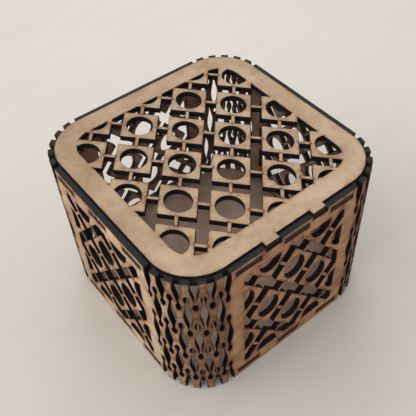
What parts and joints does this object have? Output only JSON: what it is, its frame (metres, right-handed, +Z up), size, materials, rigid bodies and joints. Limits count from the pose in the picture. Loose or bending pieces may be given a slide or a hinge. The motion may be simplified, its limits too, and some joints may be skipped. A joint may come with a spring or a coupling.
{
  "type": "pierced wooden box",
  "caption": "Square wooden box of thin laser-cut board with bent slit corners, a cane pattern cut through the faces, and a loose lid.",
  "frame": {"origin": "middle of the underside, on the surface that the box stands on", "axes": "+Z up; -Y is the front, the wall with the two lid notches; -X is the left face, where the ends of the wall strip meet"},
  "size_m": [0.126, 0.126, 0.0925],
  "materials": {
    "wall_board": "raw 3 mm fibreboard with laser-charred edges",
    "base_board": "raw 3 mm fibreboard with laser-charred edges",
    "ledge_board": "raw 3 mm fibreboard with laser-charred edges",
    "lid_board": "raw 3 mm fibreboard with laser-charred edges"
  },
  "bodies": {
    "box": {"wall_band": "wall_board", "base_plate": "base_board", "ledge_frame": "ledge_board"},
    "lid": {"lid": "lid_board"}
  },
  "joints": [
    {"name": "lid_lift", "type": "slide", "parent": "box", "child": "lid", "axis": [0, 0, 1], "range_m": [0, 0.06]}
  ]
}
